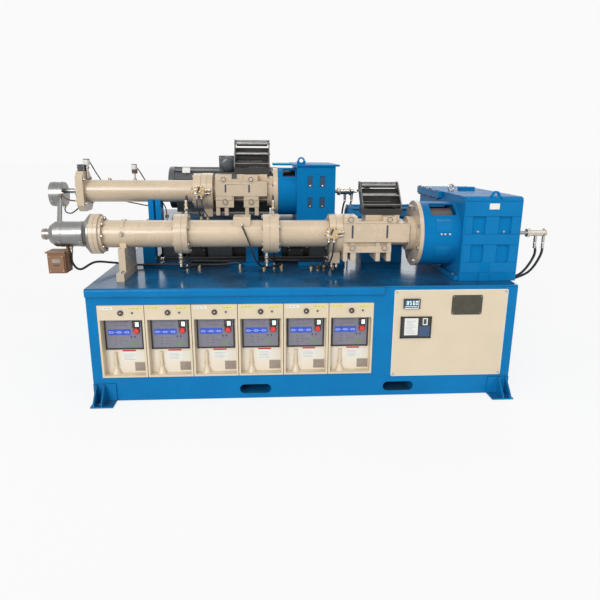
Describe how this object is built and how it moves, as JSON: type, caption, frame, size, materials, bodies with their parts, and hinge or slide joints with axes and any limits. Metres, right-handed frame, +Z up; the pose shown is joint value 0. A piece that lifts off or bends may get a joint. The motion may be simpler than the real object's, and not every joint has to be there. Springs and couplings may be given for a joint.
{
  "type": "rubber extruder",
  "caption": "Twin-line cold-feed rubber extruder: barrels, screws, heads, feed blocks, gearboxes and motors on a cabinet base with temperature units.",
  "frame": {"origin": "centre of the bounding box, at floor level", "axes": "+X along the barrels from the heads to the gearboxes, +Y from the panel side to the back, +Z up"},
  "size_m": [3.674, 1.93, 1.711],
  "materials": {
    "blue_paint": "gloss",
    "cream_paint": "satin",
    "panel_paint": "satin",
    "key_panel": "satin",
    "red_button": "gloss",
    "instrument_plastic": "gloss",
    "bright_steel": "brushed",
    "brown_paint": "satin",
    "dark_paint": "satin",
    "motor_paint": "satin",
    "gear_steel": "machined",
    "brass": "satin",
    "hose_rubber": "satin",
    "bolt_steel": "zinc"
  },
  "bodies": {
    "frame": {"cabinet": "blue_paint", "deck": "blue_paint", "corner_feet": "blue_paint", "rear_sub_base": "blue_paint", "tcu_casings": "panel_paint", "tcu_fronts": "panel_paint", "tcu_controllers": "key_panel", "control_panel": "panel_paint", "instruments": "instrument_plastic", "front_barrel_1": "cream_paint", "front_barrel_2": "cream_paint", "front_barrel_3": "cream_paint", "vent_block": "cream_paint", "front_head": "bright_steel", "head_link": "bright_steel", "head_box": "brown_paint", "front_stand": "cream_paint", "front_feed_block": "cream_paint", "front_hopper": "dark_paint", "front_neck_flange": "cream_paint", "front_gearbox": "blue_paint", "front_motor": "blue_paint", "front_union": "brass", "rear_barrel": "cream_paint", "rear_head": "bright_steel", "rear_feed_block": "cream_paint", "rear_hopper": "dark_paint", "rear_neck_flange": "cream_paint", "rear_gearbox": "blue_paint", "rear_motor": "motor_paint", "rear_union": "brass", "water_collars": "cream_paint", "feed_covers": "cream_paint", "gearbox_covers": "blue_paint", "bearings": "bright_steel", "brass_fittings": "brass", "hoses": "hose_rubber", "fasteners": "bolt_steel"},
    "front_screw": {"front_screw": "bright_steel", "front_output_gear": "gear_steel"},
    "front_mid_gear": {"front_mid_gear": "gear_steel"},
    "front_drive": {"front_drive_shaft": "gear_steel"},
    "front_feed_roller": {"front_feed_roller": "bright_steel"},
    "rear_screw": {"rear_screw": "bright_steel", "rear_output_gear": "gear_steel"},
    "rear_mid_gear": {"rear_mid_gear": "gear_steel"},
    "rear_drive": {"rear_drive_shaft": "gear_steel"},
    "rear_feed_roller": {"rear_feed_roller": "bright_steel"},
    "front_top_roller": {"front_top_roller": "bright_steel"},
    "front_mid_roller": {"front_mid_roller": "bright_steel"},
    "rear_top_roller": {"rear_top_roller": "bright_steel"},
    "rear_mid_roller": {"rear_mid_roller": "bright_steel"},
    "button_1": {"tcu_button_1": "red_button"},
    "button_2": {"tcu_button_2": "red_button"},
    "button_3": {"tcu_button_3": "red_button"},
    "button_4": {"tcu_button_4": "red_button"},
    "button_5": {"tcu_button_5": "red_button"},
    "button_6": {"tcu_button_6": "red_button"}
  },
  "joints": [
    {"name": "front_screw_turn", "type": "hinge", "parent": "frame", "child": "front_screw", "pos_m": [0.063, -0.47, 1.07], "axis": [1, 0, 0], "continuous": true},
    {"name": "front_mid_gear_turn", "type": "hinge", "parent": "frame", "child": "front_mid_gear", "pos_m": [1.313, -0.202, 1.07], "axis": [1, 0, 0], "continuous": true},
    {"name": "front_drive_turn", "type": "hinge", "parent": "frame", "child": "front_drive", "pos_m": [0.863, 0.08, 1.07], "axis": [1, 0, 0], "continuous": true},
    {"name": "front_feed_roller_turn", "type": "hinge", "parent": "frame", "child": "front_feed_roller", "pos_m": [0.663, -0.3736, 1.07], "axis": [1, 0, 0], "continuous": true},
    {"name": "rear_screw_turn", "type": "hinge", "parent": "frame", "child": "rear_screw", "pos_m": [-0.737, 0.15, 1.316], "axis": [1, 0, 0], "continuous": true},
    {"name": "rear_mid_gear_turn", "type": "hinge", "parent": "frame", "child": "rear_mid_gear", "pos_m": [0.203, 0.366, 1.316], "axis": [1, 0, 0], "continuous": true},
    {"name": "rear_drive_turn", "type": "hinge", "parent": "frame", "child": "rear_drive", "pos_m": [-0.437, 0.581, 1.316], "axis": [1, 0, 0], "continuous": true},
    {"name": "rear_feed_roller_turn", "type": "hinge", "parent": "frame", "child": "rear_feed_roller", "pos_m": [-0.287, 0.2464, 1.316], "axis": [1, 0, 0], "continuous": true},
    {"name": "front_top_roller_turn", "type": "hinge", "parent": "frame", "child": "front_top_roller", "pos_m": [0.633, -0.3199, 1.39505], "axis": [1, 0, 0], "continuous": true},
    {"name": "front_mid_roller_turn", "type": "hinge", "parent": "frame", "child": "front_mid_roller", "pos_m": [0.633, -0.3807, 1.32886], "axis": [1, 0, 0], "continuous": true},
    {"name": "rear_top_roller_turn", "type": "hinge", "parent": "frame", "child": "rear_top_roller", "pos_m": [-0.287, 0.3001, 1.68087], "axis": [1, 0, 0], "continuous": true},
    {"name": "rear_mid_roller_turn", "type": "hinge", "parent": "frame", "child": "rear_mid_roller", "pos_m": [-0.287, 0.2393, 1.60096], "axis": [1, 0, 0], "continuous": true},
    {"name": "button_1_press", "type": "slide", "parent": "frame", "child": "button_1", "axis": [0, 1, 0], "range_m": [0, 0.004], "stiffness_N_per_m": 400},
    {"name": "button_2_press", "type": "slide", "parent": "frame", "child": "button_2", "axis": [0, 1, 0], "range_m": [0, 0.004], "stiffness_N_per_m": 400},
    {"name": "button_3_press", "type": "slide", "parent": "frame", "child": "button_3", "axis": [0, 1, 0], "range_m": [0, 0.004], "stiffness_N_per_m": 400},
    {"name": "button_4_press", "type": "slide", "parent": "frame", "child": "button_4", "axis": [0, 1, 0], "range_m": [0, 0.004], "stiffness_N_per_m": 400},
    {"name": "button_5_press", "type": "slide", "parent": "frame", "child": "button_5", "axis": [0, 1, 0], "range_m": [0, 0.004], "stiffness_N_per_m": 400},
    {"name": "button_6_press", "type": "slide", "parent": "frame", "child": "button_6", "axis": [0, 1, 0], "range_m": [0, 0.004], "stiffness_N_per_m": 400}
  ],
  "couplings": [
    {"joint": "front_mid_gear_turn", "follows": "front_screw_turn", "ratio": -3.4667},
    {"joint": "front_drive_turn", "follows": "front_screw_turn", "ratio": 11.345},
    {"joint": "front_feed_roller_turn", "follows": "front_screw_turn", "ratio": -1},
    {"joint": "rear_mid_gear_turn", "follows": "rear_screw_turn", "ratio": -3.5},
    {"joint": "rear_drive_turn", "follows": "rear_screw_turn", "ratio": 11.55},
    {"joint": "rear_feed_roller_turn", "follows": "rear_screw_turn", "ratio": -1}
  ]
}
